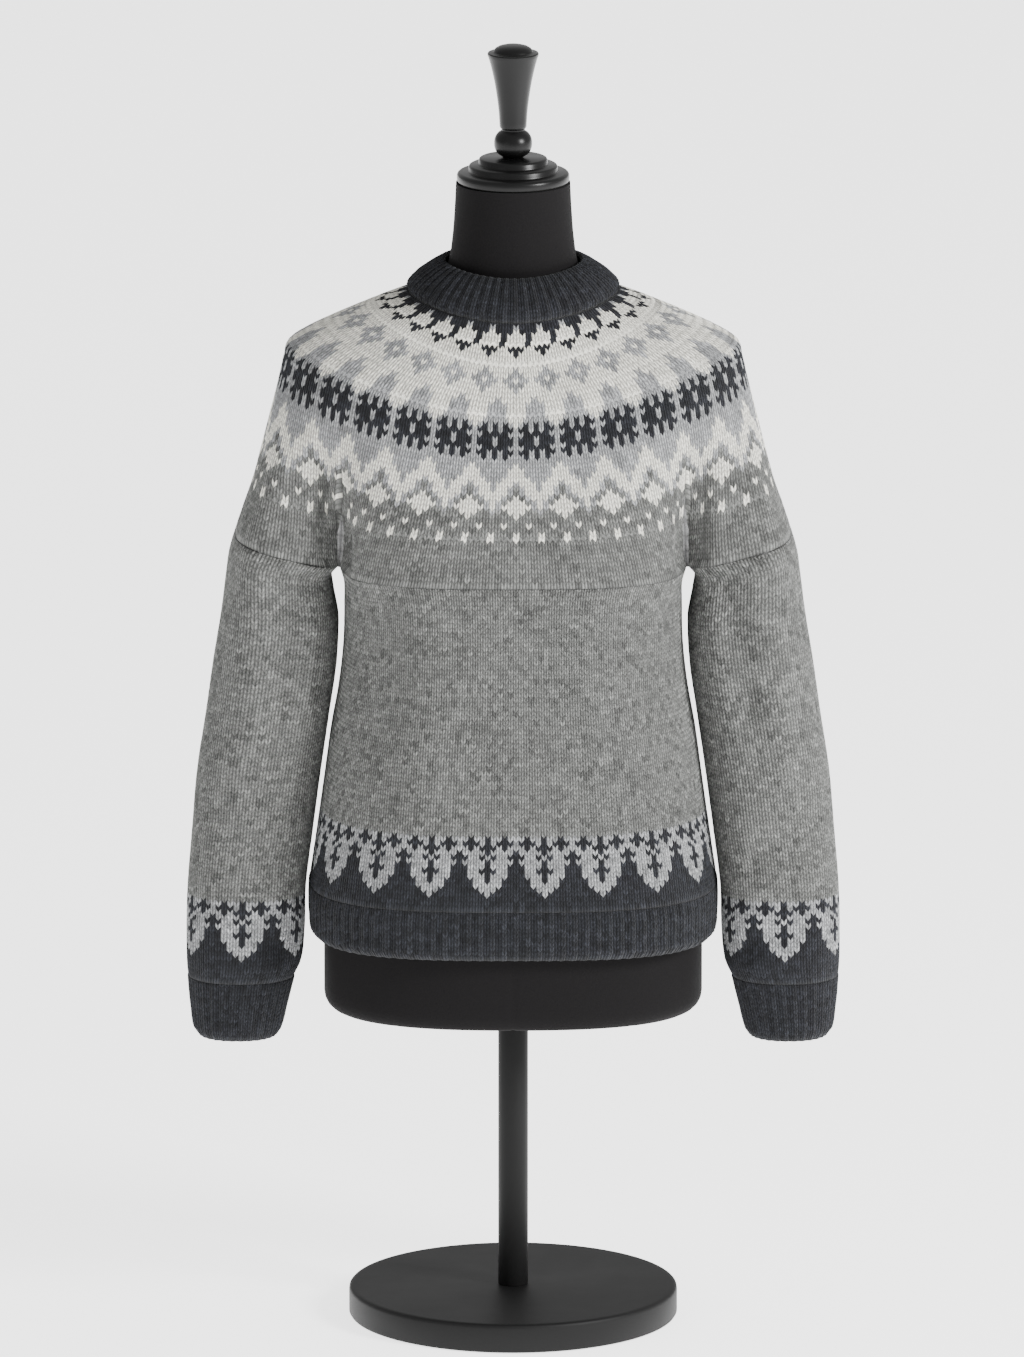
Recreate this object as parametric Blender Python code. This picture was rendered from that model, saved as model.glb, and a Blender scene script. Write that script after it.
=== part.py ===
"""Nordic yoke sweater on a limbless dress form with a turned stand.

Metres, +Z up, the front of the sweater faces -Y and the base disc stands on z = 0.
The knitted pieces are hollow walls lofted through rings; every ring comes from a short table.
"""

from math import cos, pi, radians, sin

import bpy
from mathutils import Vector

# ------------------------------------------------------------------ driving dimensions
WOOL = 0.003                # thickness of the single knitted wall
SEAM = 0.0003               # gap left between two pieces that touch
JOIN_Z = 0.700              # height of the round where the body and the sleeves join the yoke
GRAFT_X = 0.1555            # the two underarm edges meet at this distance from the middle
GRAFT_HALF = 0.031          # half length of the grafted underarm, front to back
JOIN_SLOPE = 0.27           # the joining round climbs this much towards the outside of the arm

BASE_RADIUS = 0.1485
BASE_HEIGHT = 0.0265
POLE_RADIUS = 0.0135
FORM_BOTTOM = 0.289
FORM_CORNER = 0.014
NECK_TOP = 1.0457

BODY_SEGMENTS = 40          # facets round the body and the hem
SLEEVE_SEGMENTS = 24        # facets round a sleeve and its cuff
YOKE_BODY_ARC = 8           # facets from the middle of the yoke to the underarm crease
YOKE_SLEEVE_ARC = 6         # facets from the crease to the outside of the arm

# Body tube and hem: height, half width, front depth, back depth, squareness of the section.
BODY_COLUMNS = ("z", "half", "front", "back", "power")
BODY = (
    (0.4053, 0.1832, 0.1355, 0.1270, 2.8),
    (0.4300, 0.1795, 0.1345, 0.1255, 2.8),
    (0.4650, 0.1745, 0.1325, 0.1230, 2.7),
    (0.5050, 0.1690, 0.1300, 0.1200, 2.7),
    (0.5450, 0.1635, 0.1275, 0.1175, 2.7),
    (0.5850, 0.1565, 0.1255, 0.1150, 2.7),
    (0.6250, 0.1523, 0.1245, 0.1130, 2.8),
    (0.6600, 0.1515, 0.1245, 0.1120, 2.9),
    (0.6860, 0.1520, 0.1250, 0.1120, 3.1),
    (0.7000, 0.1565, 0.1250, 0.1120, 3.3),
)
HEM = (
    (0.3600, 0.1790, 0.1340, 0.1265, 3.0),
    (0.3640, 0.1822, 0.1362, 0.1285, 3.0),
    (0.3760, 0.1838, 0.1370, 0.1290, 2.9),
    (0.3920, 0.1842, 0.1366, 0.1283, 2.9),
    (0.4050, 0.1832, 0.1355, 0.1270, 2.8),
)

# Sleeve and cuff: height at the inner edge, inner edge, outer edge, half depth, middle of the
# depth, squareness, and how much the ring climbs towards the outside.
SLEEVE_COLUMNS = ("z", "inner", "outer", "deep", "middle", "power", "climb")
SLEEVE = (
    (0.3183, 0.1975, 0.2930, 0.0450, -0.009, 2.3, 0.00),
    (0.3320, 0.1915, 0.2940, 0.0475, -0.009, 2.4, 0.00),
    (0.3600, 0.1880, 0.2942, 0.0490, -0.008, 2.5, 0.00),
    (0.4000, 0.1868, 0.2932, 0.0500, -0.007, 2.5, 0.00),
    (0.4500, 0.1805, 0.2892, 0.0510, -0.006, 2.5, 0.00),
    (0.5050, 0.1732, 0.2845, 0.0525, -0.004, 2.4, 0.00),
    (0.5600, 0.1652, 0.2762, 0.0550, -0.003, 2.4, 0.00),
    (0.6050, 0.1585, 0.2695, 0.0575, -0.002, 2.4, 0.02),
    (0.6450, 0.1563, 0.2620, 0.0600, -0.001, 2.5, 0.08),
    (0.6700, 0.1610, 0.2580, 0.0612, 0.000, 2.6, 0.15),
    (0.6860, 0.1635, 0.2550, 0.0618, 0.000, 2.7, 0.21),
    (0.7000, 0.1545, 0.2495, 0.0620, 0.000, 3.2, JOIN_SLOPE),
)
CUFF = (
    (0.2640, 0.2130, 0.2835, 0.0375, -0.010, 2.3, 0.00),
    (0.2680, 0.2105, 0.2865, 0.0395, -0.010, 2.3, 0.00),
    (0.2900, 0.2045, 0.2905, 0.0420, -0.010, 2.3, 0.00),
    (0.3180, 0.1975, 0.2930, 0.0450, -0.009, 2.3, 0.00),
)

# Yoke rings from the joining round up to the neck: heights at the front, the side and the back,
# half width, depths, squareness, and how much of the underarm crease is left.
YOKE_COLUMNS = ("z_front", "z_side", "z_back", "half", "front", "back", "power", "crease")
YOKE = (
    (0.7003, 0.7257, 0.7003, 0.2495, 0.1250, 0.1120, 2.35, 1.00),
    (0.7210, 0.7480, 0.7220, 0.2420, 0.1240, 0.1140, 2.35, 0.84),
    (0.7450, 0.7730, 0.7470, 0.2335, 0.1225, 0.1150, 2.35, 0.60),
    (0.7700, 0.8020, 0.7740, 0.2260, 0.1202, 0.1155, 2.35, 0.35),
    (0.7950, 0.8300, 0.8010, 0.2190, 0.1170, 0.1150, 2.35, 0.15),
    (0.8180, 0.8600, 0.8280, 0.2115, 0.1135, 0.1135, 2.30, 0.05),
    (0.8380, 0.8850, 0.8520, 0.2062, 0.1095, 0.1110, 2.25, 0.00),
    (0.8560, 0.8990, 0.8740, 0.2025, 0.1060, 0.1075, 2.20, 0.00),
    (0.8720, 0.9090, 0.8930, 0.1900, 0.1025, 0.1030, 2.15, 0.00),
    (0.8880, 0.9215, 0.9120, 0.1620, 0.0985, 0.0970, 2.10, 0.00),
    (0.9080, 0.9350, 0.9300, 0.1290, 0.0930, 0.0890, 2.10, 0.00),
    (0.9350, 0.9480, 0.9500, 0.0940, 0.0855, 0.0760, 2.05, 0.00),
)
# Neckband rings above the yoke: the same columns and the thickness of the doubled rib.
NECKBAND_COLUMNS = YOKE_COLUMNS + ("thick",)
NECKBAND = (
    (0.9350, 0.9480, 0.9500, 0.0940, 0.0855, 0.0760, 2.05, 0.00, 0.0040),
    (0.9390, 0.9520, 0.9545, 0.0945, 0.0868, 0.0768, 2.05, 0.00, 0.0062),
    (0.9480, 0.9605, 0.9620, 0.0880, 0.0838, 0.0735, 2.05, 0.00, 0.0068),
    (0.9580, 0.9680, 0.9690, 0.0780, 0.0772, 0.0690, 2.03, 0.00, 0.0066),
    (0.9665, 0.9738, 0.9745, 0.0682, 0.0702, 0.0645, 2.02, 0.00, 0.0058),
    (0.9708, 0.9762, 0.9768, 0.0622, 0.0645, 0.0606, 2.00, 0.00, 0.0030),
)

# Padded form from the rounded bottom edge to the top of the neck.
FORM_COLUMNS = ("z", "half", "front", "back", "power")
FORM = (
    (0.3030, 0.1705, 0.1190, 0.1140, 2.5),
    (0.3600, 0.1705, 0.1200, 0.1150, 2.4),
    (0.4200, 0.1660, 0.1195, 0.1140, 2.4),
    (0.4800, 0.1590, 0.1160, 0.1090, 2.3),
    (0.5400, 0.1490, 0.1100, 0.1030, 2.3),
    (0.6000, 0.1390, 0.1040, 0.0975, 2.3),
    (0.6500, 0.1370, 0.1040, 0.0960, 2.3),
    (0.7000, 0.1410, 0.1100, 0.0975, 2.4),
    (0.7400, 0.1455, 0.1130, 0.0990, 2.4),
    (0.7800, 0.1510, 0.1095, 0.1000, 2.4),
    (0.8150, 0.1600, 0.1030, 0.0990, 2.3),
    (0.8450, 0.1740, 0.0960, 0.0960, 2.2),
    (0.8650, 0.1850, 0.0890, 0.0920, 2.2),
    (0.8800, 0.1900, 0.0830, 0.0880, 2.1),
    (0.8920, 0.1890, 0.0770, 0.0840, 2.1),
    (0.9010, 0.1850, 0.0730, 0.0800, 2.1),
    (0.9090, 0.1735, 0.0700, 0.0770, 2.1),
    (0.9170, 0.1570, 0.0680, 0.0740, 2.1),
    (0.9250, 0.1375, 0.0660, 0.0700, 2.1),
    (0.9330, 0.1160, 0.0640, 0.0660, 2.0),
    (0.9410, 0.0915, 0.0620, 0.0620, 2.0),
    (0.9490, 0.0750, 0.0590, 0.0595, 2.0),
    (0.9590, 0.0640, 0.0570, 0.0570, 2.0),
    (0.9730, 0.0580, 0.0550, 0.0545, 2.0),
    (0.9950, 0.0545, 0.0530, 0.0525, 2.0),
    (1.0200, 0.0525, 0.0518, 0.0515, 2.0),
    (NECK_TOP, 0.0512, 0.0510, 0.0508, 2.0),
)

# Turned profiles as (radius, height), from the bottom centre to the top centre.
CAP_BOTTOM = NECK_TOP + SEAM
NECK_CAP = (
    (0.0000, 0.0000), (0.0480, 0.0000), (0.0500, 0.0012), (0.0505, 0.0030), (0.0503, 0.0068),
    (0.0492, 0.0086), (0.0470, 0.0094), (0.0412, 0.0098), (0.0402, 0.0112), (0.0398, 0.0142),
    (0.0382, 0.0158), (0.0322, 0.0162), (0.0312, 0.0176), (0.0306, 0.0206), (0.0288, 0.0222),
    (0.0000, 0.0224),
)
FINIAL_BOTTOM = CAP_BOTTOM + 0.0224 + SEAM
FINIAL = (
    (0.0000, 0.0000), (0.0092, 0.0000), (0.0100, 0.0008), (0.0130, 0.0028), (0.0158, 0.0062),
    (0.0171, 0.0108), (0.0171, 0.0148), (0.0158, 0.0192), (0.0132, 0.0226), (0.0112, 0.0240),
    (0.0106, 0.0256), (0.0118, 0.0270), (0.0122, 0.0290), (0.0128, 0.0400), (0.0144, 0.0540),
    (0.0170, 0.0700), (0.0204, 0.0850), (0.0222, 0.0912), (0.0229, 0.0928), (0.0230, 0.0944),
    (0.0222, 0.0954), (0.0192, 0.0956), (0.0176, 0.0966), (0.0160, 0.0990), (0.0126, 0.1010),
    (0.0076, 0.1022), (0.0000, 0.1027),
)
BASE = (
    (0.0000, 0.0000), (0.1455, 0.0000), (0.1480, 0.0012), (0.1485, 0.0030), (0.1485, 0.0215),
    (0.1478, 0.0245), (0.1455, 0.0262), (0.1425, BASE_HEIGHT), (0.0000, BASE_HEIGHT),
)

COLOURS = {
    "wool_grey": (0.27, 0.28, 0.27, 1.0),
    "wool_pattern": (0.55, 0.56, 0.53, 1.0),
    "wool_charcoal": (0.035, 0.038, 0.045, 1.0),
    "jersey_black": (0.020, 0.019, 0.020, 1.0),
    "lacquer_black": (0.012, 0.012, 0.012, 1.0),
    "metal_black": (0.018, 0.018, 0.018, 1.0),
}


# ------------------------------------------------------------------ tables and rings
def rows(columns, table):
    """Turn a table into a list of dictionaries keyed by column name."""
    return [dict(zip(columns, line)) for line in table]


def signed_power(value, exponent):
    """Raise to a power and keep the sign."""
    return abs(value) ** exponent * (1.0 if value >= 0.0 else -1.0)


def quarter(half, depth, power, side, steps=90):
    """Points of a rounded quarter section from the middle (x = 0) to the side (y = 0)."""
    points = []
    for step in range(steps + 1):
        angle = 0.5 * pi * step / steps
        x = half * signed_power(sin(angle), 2.0 / power)
        y = side * depth * signed_power(cos(angle), 2.0 / power)
        points.append(Vector((x, y, 0.0)))
    return points


def spread(points, count):
    """Place count + 1 points at equal distances along a line of points."""
    lengths = [0.0]
    for first, second in zip(points, points[1:]):
        lengths.append(lengths[-1] + (second - first).length)
    result = []
    index = 0
    for step in range(count + 1):
        target = lengths[-1] * step / count
        while index < len(points) - 2 and lengths[index + 1] < target:
            index += 1
        span = lengths[index + 1] - lengths[index]
        share = 0.0 if span < 1e-12 else (target - lengths[index]) / span
        result.append(points[index].lerp(points[index + 1], min(max(share, 0.0), 1.0)))
    return result


def mirrored(half_ring):
    """Close a half ring (front middle, +x side, back middle) with its mirror image."""
    other = [Vector((-point.x, point.y, point.z)) for point in half_ring[-2:0:-1]]
    return half_ring + other


def tube_ring(row, segments, limit=None):
    """One level ring of the body, the hem or the form."""
    line = quarter(row["half"], row["front"], row["power"], -1.0)
    line += quarter(row["half"], row["back"], row["power"], 1.0)[-2::-1]
    ring = mirrored(spread(line, segments // 2))
    for point in ring:
        if limit is not None:
            point.x = min(max(point.x, -limit), limit)
        point.z = row["z"]
    return ring


def sleeve_line(row, side, limit=None):
    """Half of a sleeve section from its inner edge round to its outer edge."""
    centre = 0.5 * (row["inner"] + row["outer"])
    half = 0.5 * (row["outer"] - row["inner"])
    arc = quarter(half, row["deep"], row["power"], side)
    line = [Vector((centre - point.x, point.y, 0.0)) for point in arc[::-1]]
    line += [Vector((centre + point.x, point.y, 0.0)) for point in arc[1:]]
    for point in line:
        if limit is not None:
            point.x = max(point.x, limit)
        point.y += row["middle"]
        point.z = row["z"] + row["climb"] * max(point.x - GRAFT_X, 0.0)
    return line


def sleeve_ring(row, segments, limit=None):
    """One ring of the right hand sleeve, starting at its inner edge."""
    front = spread(sleeve_line(row, -1.0, limit), segments // 2)
    back = spread(sleeve_line(row, 1.0, limit), segments // 2)
    return front + back[-2:0:-1]


def joining_line(depth_key, side):
    """Outline of the joining round: body to the crease, then round the outside of the sleeve."""
    body = rows(BODY_COLUMNS, BODY)[-1]
    sleeve = rows(SLEEVE_COLUMNS, SLEEVE)[-1]
    body_arc = quarter(body["half"], body[depth_key], body["power"], side)
    for point in body_arc:
        point.x = min(point.x, GRAFT_X - SEAM)
    body_arc = [point for point in body_arc if abs(point.y) > GRAFT_HALF]
    crease = Vector((GRAFT_X, side * (GRAFT_HALF - 0.001), 0.0))
    arm_arc = sleeve_line(sleeve, side, GRAFT_X + SEAM)
    arm_arc = [point for point in arm_arc if abs(point.y) > GRAFT_HALF or point.x > 0.21]
    for point in arm_arc:
        point.z = 0.0
    first = spread(body_arc + [crease], YOKE_BODY_ARC)
    second = spread([crease] + arm_arc, YOKE_SLEEVE_ARC)
    line = first + second[1:]
    for point in line:
        point.z = JOIN_Z + SEAM + JOIN_SLOPE * max(point.x - GRAFT_X, 0.0)
    return line


def smooth_line(row, depth_key, height_key, side):
    """A plain yoke outline cut into the same shares as the joining round."""
    total = YOKE_BODY_ARC + YOKE_SLEEVE_ARC
    line = spread(quarter(row["half"], row[depth_key], row["power"], side), total)
    for point in line:
        share = (abs(point.x) / row["half"]) ** 1.8
        point.z = row[height_key] + (row["z_side"] - row[height_key]) * share
    return line


def yoke_ring(row, first_row):
    """One yoke ring: the plain outline plus what is left of the underarm crease."""
    half_ring = []
    for depth_key, height_key, side in (("front", "z_front", -1.0), ("back", "z_back", 1.0)):
        plain = smooth_line(row, depth_key, height_key, side)
        start = smooth_line(first_row, depth_key, height_key, side)
        joined = joining_line(depth_key, side)
        line = []
        for here, base, target in zip(plain, start, joined):
            line.append(here + row["crease"] * (target - base))
        if side < 0.0:
            half_ring = line
        else:
            half_ring = half_ring + line[-2::-1]
    return mirrored(half_ring)


# ------------------------------------------------------------------ meshes
def surface_normals(grid):
    """Outward unit normal of every point of a grid whose rows run round and climb."""
    count = len(grid[0])
    normals = []
    for level, ring in enumerate(grid):
        lower = grid[max(level - 1, 0)]
        upper = grid[min(level + 1, len(grid) - 1)]
        line = []
        for index in range(count):
            along = ring[(index + 1) % count] - ring[index - 1]
            climb = upper[index] - lower[index]
            line.append(along.cross(climb).normalized())
        normals.append(line)
    return normals


def new_object(name, points, faces, material, smooth):
    """Make one closed mesh object whose origin sits at the middle of its box."""
    low = Vector([min(point[axis] for point in points) for axis in range(3)])
    high = Vector([max(point[axis] for point in points) for axis in range(3)])
    centre = 0.5 * (low + high)
    mesh = bpy.data.meshes.new(name)
    mesh.from_pydata([tuple(point - centre) for point in points], [], faces)
    mesh.validate()
    mesh.update()
    for polygon in mesh.polygons:
        polygon.use_smooth = smooth
    mesh.materials.append(material)
    thing = bpy.data.objects.new(name, mesh)
    thing.location = centre
    bpy.context.scene.collection.objects.link(thing)
    return thing


def wall(name, outer, inner, material):
    """A hollow tube: outer and inner grids with the same rows, joined at both ends."""
    levels = len(outer)
    count = len(outer[0])
    points = [point for ring in outer for point in ring]
    points += [point for ring in inner for point in ring]
    offset = levels * count
    faces = []
    for level in range(levels - 1):
        for index in range(count):
            step = (index + 1) % count
            a = level * count + index
            b = level * count + step
            c = (level + 1) * count + step
            d = (level + 1) * count + index
            for first, second, third in ((a, b, c), (a, c, d)):
                faces.append((first, second, third))
                faces.append((offset + third, offset + second, offset + first))
    for index in range(count):
        step = (index + 1) % count
        top = (levels - 1) * count
        faces.append((offset + index, offset + step, step, index))
        faces.append((top + index, top + step, offset + top + step, offset + top + index))
    return new_object(name, points, faces, material, True)


def flat_ends(outer, inner):
    """Keep the first and last inner rings in the plane of the outer rings."""
    for level in (0, len(outer) - 1):
        for point, edge in zip(inner[level], outer[level]):
            point.z = edge.z


def tube_wall(name, rings, material, slope=False):
    """A wall of even thickness with level ends (or ends that climb with the joining round)."""
    normals = surface_normals(rings)
    inner = []
    for ring, line in zip(rings, normals):
        inner.append([point - normal * WOOL for point, normal in zip(ring, line)])
    flat_ends(rings, inner)
    if slope:
        for point in inner[-1]:
            point.z = JOIN_Z + JOIN_SLOPE * max(abs(point.x) - GRAFT_X, 0.0)
    return wall(name, rings, inner, material)


def lathe(name, profile, lift, segments, material):
    """Turn a profile about the upright axis."""
    points = [Vector((0.0, 0.0, profile[0][1] + lift))]
    for radius, height in profile[1:-1]:
        for index in range(segments):
            angle = 2.0 * pi * index / segments
            points.append(Vector((radius * cos(angle), radius * sin(angle), height + lift)))
    points.append(Vector((0.0, 0.0, profile[-1][1] + lift)))
    levels = len(profile) - 2
    last = len(points) - 1
    faces = []
    for index in range(segments):
        step = (index + 1) % segments
        faces.append((0, 1 + step, 1 + index))
        top = 1 + (levels - 1) * segments
        faces.append((last, top + index, top + step))
        for level in range(levels - 1):
            a = 1 + level * segments
            b = a + segments
            faces.append((a + index, a + step, b + step, b + index))
    thing = new_object(name, points, faces, material, True)
    thing.data.set_sharp_from_angle(angle=radians(40.0))
    return thing


def loft(name, rings, material):
    """A solid through level rings, closed by flat ends."""
    count = len(rings[0])
    points = [point for ring in rings for point in ring]
    faces = [tuple(range(count - 1, -1, -1))]
    for level in range(len(rings) - 1):
        for index in range(count):
            step = (index + 1) % count
            a = level * count
            b = a + count
            faces.append((a + index, a + step, b + step, b + index))
    top = (len(rings) - 1) * count
    faces.append(tuple(range(top, top + count)))
    thing = new_object(name, points, faces, material, True)
    thing.data.set_sharp_from_angle(angle=radians(50.0))
    return thing


def make_material(name):
    """A plain material with its own colour."""
    material = bpy.data.materials.new(name)
    material.use_nodes = True
    shader = material.node_tree.nodes["Principled BSDF"]
    shader.inputs["Base Color"].default_value = COLOURS[name]
    shader.inputs["Roughness"].default_value = 0.35 if name.endswith("black") else 0.9
    material.diffuse_color = COLOURS[name]
    return material


# ------------------------------------------------------------------ pieces
def build_body_and_hem(materials):
    """The body tube from the hem seam to the joining round, and the ribbed hem under it."""
    body_rows = rows(BODY_COLUMNS, BODY)
    rings = [tube_ring(row, BODY_SEGMENTS) for row in body_rows[:-1]]
    rings.append(tube_ring(body_rows[-1], BODY_SEGMENTS, GRAFT_X - SEAM))
    tube_wall("body", rings, materials["wool_grey"])
    hem_rings = [tube_ring(row, BODY_SEGMENTS) for row in rows(BODY_COLUMNS, HEM)]
    tube_wall("hem_rib", hem_rings, materials["wool_charcoal"])


def build_sleeves(materials):
    """Both sleeves with their cuffs; the left hand pair is the mirror of the right hand pair."""
    sleeve_rows = rows(SLEEVE_COLUMNS, SLEEVE)
    rings = [sleeve_ring(row, SLEEVE_SEGMENTS) for row in sleeve_rows[:-1]]
    rings.append(sleeve_ring(sleeve_rows[-1], SLEEVE_SEGMENTS, GRAFT_X + SEAM))
    cuff = [sleeve_ring(row, SLEEVE_SEGMENTS) for row in rows(SLEEVE_COLUMNS, CUFF)]
    for suffix, side in (("right", 1.0), ("left", -1.0)):
        for name, source, slot, slope in (
            ("sleeve_" + suffix, rings, "wool_grey", True),
            ("cuff_" + suffix, cuff, "wool_charcoal", False),
        ):
            turned = []
            for ring in source:
                line = [Vector((side * point.x, point.y, point.z)) for point in ring]
                turned.append(line if side > 0.0 else line[::-1])
            tube_wall(name, turned, materials[slot], slope)


def build_yoke_and_neckband(materials):
    """The round yoke and the doubled neckband share one surface that is parted at the seam."""
    yoke_rows = rows(YOKE_COLUMNS, YOKE)
    band_rows = rows(NECKBAND_COLUMNS, NECKBAND)
    yoke_rings = [yoke_ring(row, yoke_rows[0]) for row in yoke_rows]
    band_rings = [yoke_ring(row, yoke_rows[0]) for row in band_rows]
    normals = surface_normals(yoke_rings + band_rings[1:])
    seam = len(yoke_rings) - 1

    outer = [[point.copy() for point in ring] for ring in yoke_rings]
    for index, point in enumerate(outer[seam]):
        down = (yoke_rings[seam - 1][index] - point).normalized()
        outer[seam][index] = point + down * SEAM
    inner = []
    for ring, line in zip(outer, normals[:seam + 1]):
        inner.append([point - normal * WOOL for point, normal in zip(ring, line)])
    for point in inner[0]:
        point.z = JOIN_Z + SEAM + JOIN_SLOPE * max(abs(point.x) - GRAFT_X, 0.0)
    wall("yoke", outer, inner, materials["wool_pattern"])

    band_inner = []
    for level, row in enumerate(band_rows):
        line = normals[seam + level]
        pairs = zip(band_rings[level], line)
        band_inner.append([point - normal * row["thick"] for point, normal in pairs])
    wall("neckband", band_rings, band_inner, materials["wool_charcoal"])


def build_form(materials):
    """The padded form: rounded bottom edge, hips, waist, chest, shoulders and neck."""
    form_rows = rows(FORM_COLUMNS, FORM)
    rings = []
    for turn in (0.0, 30.0, 60.0):
        row = dict(form_rows[0])
        inset = FORM_CORNER * (1.0 - sin(radians(turn)))
        row["half"] -= inset
        row["front"] -= inset
        row["back"] -= inset
        row["z"] = FORM_BOTTOM + FORM_CORNER * (1.0 - cos(radians(turn)))
        rings.append(tube_ring(row, 44))
    rings += [tube_ring(row, 44) for row in form_rows]
    loft("form_torso", rings, materials["jersey_black"])


def build_stand(materials):
    """Turned neck cap and finial, the pole and the base disc."""
    lathe("neck_cap", NECK_CAP, CAP_BOTTOM, 48, materials["lacquer_black"])
    lathe("finial", FINIAL, FINIAL_BOTTOM, 32, materials["lacquer_black"])
    pole = (
        (0.0, 0.0), (POLE_RADIUS, 0.0),
        (POLE_RADIUS, FORM_BOTTOM - BASE_HEIGHT - 2.0 * SEAM),
        (0.0, FORM_BOTTOM - BASE_HEIGHT - 2.0 * SEAM),
    )
    lathe("pole", pole, BASE_HEIGHT + SEAM, 32, materials["metal_black"])
    lathe("base", BASE, 0.0, 72, materials["metal_black"])


def main():
    for thing in list(bpy.data.objects):
        bpy.data.objects.remove(thing, do_unlink=True)
    materials = {name: make_material(name) for name in COLOURS}
    build_body_and_hem(materials)
    build_sleeves(materials)
    build_yoke_and_neckband(materials)
    build_form(materials)
    build_stand(materials)


main()
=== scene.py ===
# %% [markdown]
# # A nordic yoke sweater on a dress form
# The lesson builds a hand-knit round-yoke pullover stitch by stitch on the imported frame. First
# the frame is loaded. Every later piece has to stay inside it.

# %% Load the frame
from math import cos, pi, radians, sin

import bpy
import numpy as np
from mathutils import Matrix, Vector


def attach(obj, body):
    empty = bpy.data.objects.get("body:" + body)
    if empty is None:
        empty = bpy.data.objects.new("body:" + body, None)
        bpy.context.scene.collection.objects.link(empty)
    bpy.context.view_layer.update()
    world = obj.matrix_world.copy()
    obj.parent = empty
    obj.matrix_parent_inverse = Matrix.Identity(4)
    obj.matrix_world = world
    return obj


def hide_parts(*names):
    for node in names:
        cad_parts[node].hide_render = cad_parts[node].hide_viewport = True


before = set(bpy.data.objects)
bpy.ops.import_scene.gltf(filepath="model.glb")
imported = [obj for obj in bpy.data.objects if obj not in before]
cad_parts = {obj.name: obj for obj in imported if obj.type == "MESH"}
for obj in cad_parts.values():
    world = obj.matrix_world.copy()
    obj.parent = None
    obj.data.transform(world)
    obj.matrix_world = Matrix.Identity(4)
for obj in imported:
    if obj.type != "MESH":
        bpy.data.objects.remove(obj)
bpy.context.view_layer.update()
RNG = np.random.default_rng(7)

# %% [markdown]
# ## Camera
# A catalogue shot of a garment is taken from far away with a long lens, so that the shoulders and
# the hem keep their true proportions. The camera stands a little above the neck and looks down.

# %% Camera
CAMERA_DISTANCE = 20.0
CAMERA_LIFT = radians(13.3)
AIM = Vector((-0.001, 0.0, 0.589))
lens = bpy.data.cameras.new("long_lens")
lens.sensor_fit = "VERTICAL"
lens.sensor_height = 36.0
lens.lens = 36.0 * CAMERA_DISTANCE / 1.221
lens.clip_end = 100.0
camera = bpy.data.objects.new("camera", lens)
bpy.context.scene.collection.objects.link(camera)
camera.location = AIM + Vector((0.0, -cos(CAMERA_LIFT), sin(CAMERA_LIFT))) * CAMERA_DISTANCE
camera.rotation_euler = (pi / 2 - CAMERA_LIFT, 0.0, 0.0)
bpy.context.scene.camera = camera

# %% [markdown]
# ## The garment's measurements
# Short tables hold the shape of the whole sweater. One line is one round of knitting at a named
# height. Between the lines a smooth curve is drawn, as a knitter would block the garment.

# %% Tables of rounds
WOOL = 0.003
GRAFT_X = 0.1555
GRAFT_HALF = 0.031
JOIN_SLOPE = 0.27
ROW = 0.0042                            # height of one round of stitches
NEAR_JOIN = 0.695                       # above this height the body has its flat underarm
SEAM = 0.0005                           # how far the body stays away from the sleeve there

TUBE_COLUMNS = ("z", "half", "front", "back", "power")
BODY = (
    (0.40515, 0.1832, 0.1355, 0.1270, 2.8), (0.4300, 0.1795, 0.1345, 0.1255, 2.8),
    (0.4650, 0.1745, 0.1325, 0.1230, 2.7), (0.5050, 0.1690, 0.1300, 0.1200, 2.7),
    (0.5450, 0.1635, 0.1275, 0.1175, 2.7), (0.5850, 0.1565, 0.1255, 0.1150, 2.7),
    (0.6250, 0.1523, 0.1245, 0.1130, 2.8), (0.6600, 0.1515, 0.1245, 0.1120, 2.9),
    (0.6860, 0.1520, 0.1250, 0.1120, 3.1), (0.69995, 0.1560, 0.1250, 0.1120, 3.3),
)
HEM = (
    (0.3600, 0.1770, 0.1325, 0.1250, 3.0), (0.3640, 0.1812, 0.1352, 0.1275, 3.0),
    (0.3760, 0.1830, 0.1362, 0.1282, 2.9), (0.3920, 0.1836, 0.1360, 0.1277, 2.9),
    (0.40505, 0.1832, 0.1355, 0.1270, 2.8),
)
SLEEVE_COLUMNS = ("z", "inner", "outer", "deep", "middle", "power", "climb")
SLEEVE = (
    (0.31845, 0.1975, 0.2930, 0.0450, -0.009, 2.3, 0.00),
    (0.3320, 0.1915, 0.2940, 0.0475, -0.009, 2.4, 0.00),
    (0.3600, 0.1882, 0.2942, 0.0490, -0.008, 2.5, 0.00),
    (0.4000, 0.1870, 0.2932, 0.0500, -0.007, 2.5, 0.00),
    (0.4500, 0.1808, 0.2892, 0.0510, -0.006, 2.5, 0.00),
    (0.5050, 0.1735, 0.2845, 0.0525, -0.004, 2.4, 0.00),
    (0.5600, 0.1655, 0.2762, 0.0550, -0.003, 2.4, 0.00),
    (0.6050, 0.1590, 0.2695, 0.0575, -0.002, 2.4, 0.02),
    (0.6450, 0.1570, 0.2620, 0.0600, -0.001, 2.5, 0.08),
    (0.6700, 0.1612, 0.2580, 0.0612, 0.000, 2.6, 0.15),
    (0.6860, 0.1635, 0.2550, 0.0618, 0.000, 2.7, 0.21),
    (0.69995, 0.1555, 0.2495, 0.0620, 0.000, 3.2, JOIN_SLOPE),
)
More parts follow.
